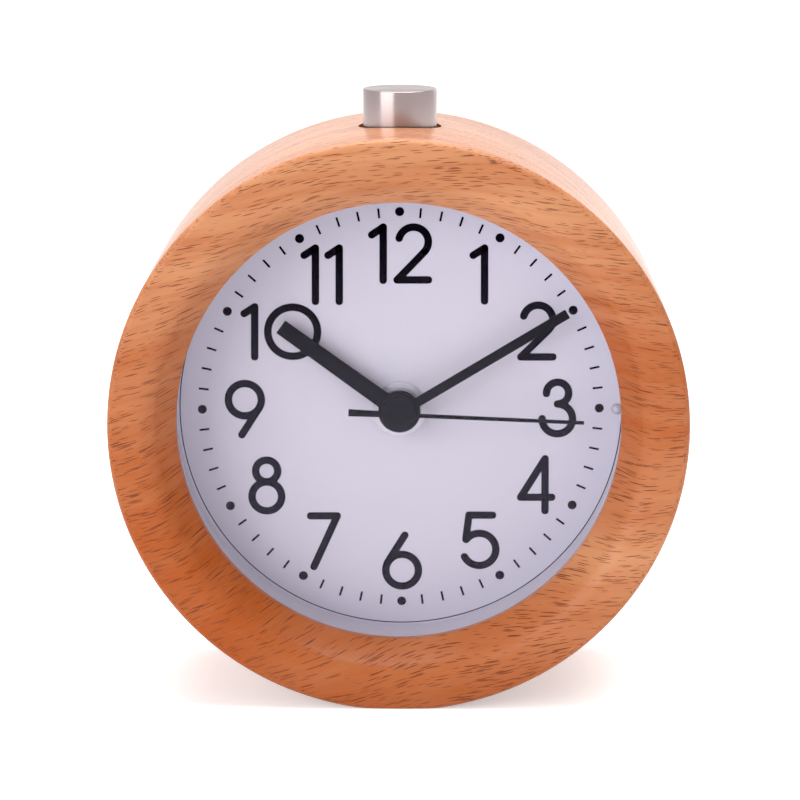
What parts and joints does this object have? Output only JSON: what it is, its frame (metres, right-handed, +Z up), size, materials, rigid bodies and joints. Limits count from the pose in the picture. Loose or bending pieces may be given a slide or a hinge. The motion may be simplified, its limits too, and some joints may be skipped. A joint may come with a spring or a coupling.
{
  "type": "alarm clock",
  "caption": "Round wooden desk alarm clock with a white numbered dial, black hands, a metal snooze button on top and setting knobs behind.",
  "frame": {"origin": "middle of the underside, on the flat that the clock stands on", "axes": "+X to the right as the dial is read, +Y from the front rim to the back rim along the hands' axis, +Z up to the snooze button"},
  "size_m": [0.1, 0.046, 0.1055],
  "materials": {
    "beech": "clear satin varnish",
    "lens_glass": "clear",
    "dial_white": "satin",
    "ring_white": "satin",
    "hand_black": "satin black",
    "button_aluminium": "turned satin",
    "nickel_steel": "nickel plated",
    "spring_steel": "bright wire",
    "cover_black": "fine texture",
    "knob_black": "satin",
    "slider_white": "satin",
    "shell_grey": "moulded",
    "gear_white": "moulded",
    "magnet_dark": "dark",
    "copper_wire": "enamelled copper",
    "board_green": "solder mask",
    "lamp_clear": "clear resin",
    "cell_sleeve": "gloss sleeve"
  },
  "bodies": {
    "case": {"wooden_case": "beech", "front_lens": "lens_glass", "dial_ring": "ring_white", "dial": "dial_white", "dial_washer": "nickel_steel", "dial_nut": "nickel_steel", "lamp": "lamp_clear", "lamp_leads": "knob_black", "movement_front": "shell_grey", "middle_plate": "shell_grey", "rear_bridge": "shell_grey", "movement_rear": "shell_grey", "circuit_board": "board_green", "quartz_crystal": "nickel_steel", "control_chip": "knob_black", "buzzer": "knob_black", "stator": "nickel_steel", "coil_core": "nickel_steel", "drive_coil": "copper_wire", "button_guide": "shell_grey", "button_spring": "spring_steel", "switch_board": "board_green", "snooze_switch": "knob_black", "battery": "cell_sleeve", "positive_contact": "nickel_steel", "negative_contact": "nickel_steel", "contact_spring": "spring_steel", "back_cover": "cover_black", "cover_screws": "nickel_steel"},
    "rotor_body": {"rotor": "magnet_dark"},
    "step_body": {"step_wheel": "gear_white"},
    "seconds": {"second_wheel": "gear_white", "second_hand": "hand_black"},
    "third_body": {"third_wheel": "gear_white"},
    "centre_body": {"centre_gear": "gear_white"},
    "minutes": {"minute_cannon": "gear_white", "minute_hand": "hand_black"},
    "change_body": {"change_wheel": "gear_white"},
    "hours": {"hour_wheel": "gear_white", "hour_hand": "hand_black"},
    "time_setting": {"time_shaft": "gear_white", "time_knob": "knob_black"},
    "alarm_pointer": {"alarm_wheel": "gear_white", "alarm_hand": "hand_black"},
    "alarm_setting": {"alarm_shaft": "gear_white", "alarm_knob": "knob_black"},
    "snooze": {"snooze_button": "button_aluminium", "button_stem": "nickel_steel", "button_clip": "spring_steel"},
    "alarm_switch": {"alarm_slider": "slider_white"},
    "cell_door": {"battery_door": "cover_black"}
  },
  "joints": [
    {"name": "second_turn", "type": "hinge", "parent": "case", "child": "seconds", "pos_m": [0, 0, 0.0494], "axis": [0, 1, 0], "continuous": true},
    {"name": "third_turn", "type": "hinge", "parent": "case", "child": "third_body", "pos_m": [-0.00489, 0, 0.05522], "axis": [0, 1, 0], "continuous": true},
    {"name": "centre_turn", "type": "hinge", "parent": "case", "child": "centre_body", "pos_m": [0, 0, 0.0494], "axis": [0, 1, 0], "continuous": true},
    {"name": "step_turn", "type": "hinge", "parent": "case", "child": "step_body", "pos_m": [-0.0036, 0, 0.04511], "axis": [0, 1, 0], "continuous": true},
    {"name": "rotor_turn", "type": "hinge", "parent": "case", "child": "rotor_body", "pos_m": [-0.0084, 0, 0.04511], "axis": [0, 1, 0], "continuous": true},
    {"name": "minute_turn", "type": "hinge", "parent": "case", "child": "minutes", "pos_m": [0, 0, 0.0494], "axis": [0, 1, 0], "continuous": true},
    {"name": "change_turn", "type": "hinge", "parent": "case", "child": "change_body", "pos_m": [0.00733, 0, 0.04673], "axis": [0, 1, 0], "continuous": true},
    {"name": "hour_turn", "type": "hinge", "parent": "case", "child": "hours", "pos_m": [0, 0, 0.0494], "axis": [0, 1, 0], "continuous": true},
    {"name": "time_set_turn", "type": "hinge", "parent": "case", "child": "time_setting", "pos_m": [0.01542, 0, 0.04602], "axis": [0, 1, 0], "continuous": true},
    {"name": "alarm_turn", "type": "hinge", "parent": "case", "child": "alarm_pointer", "pos_m": [0, 0, 0.0494], "axis": [0, 1, 0], "continuous": true},
    {"name": "alarm_set_turn", "type": "hinge", "parent": "case", "child": "alarm_setting", "pos_m": [0.0048, 0, 0.05771], "axis": [0, 1, 0], "continuous": true},
    {"name": "snooze_press", "type": "slide", "parent": "case", "child": "snooze", "axis": [0, 0, -1], "range_m": [0, 0.0012], "stiffness_N_per_m": 500, "springref_m": -0.0015, "deforming": ["button_spring"]},
    {"name": "alarm_switch_slide", "type": "slide", "parent": "case", "child": "alarm_switch", "axis": [1, 0, 0], "range_m": [0, 0.004]},
    {"name": "cell_door_lift", "type": "slide", "parent": "case", "child": "cell_door", "axis": [0, 1, 0], "range_m": [0, 0.012]}
  ],
  "couplings": [
    {"joint": "third_turn", "follows": "second_turn", "ratio": -0.125},
    {"joint": "centre_turn", "follows": "second_turn", "ratio": 0.016667},
    {"joint": "step_turn", "follows": "second_turn", "ratio": -6},
    {"joint": "rotor_turn", "follows": "second_turn", "ratio": 30},
    {"joint": "change_turn", "follows": "minute_turn", "ratio": -0.33333},
    {"joint": "hour_turn", "follows": "minute_turn", "ratio": 0.083333},
    {"joint": "time_set_turn", "follows": "minute_turn", "ratio": 0.85714},
    {"joint": "alarm_set_turn", "follows": "alarm_turn", "ratio": -1.6}
  ]
}
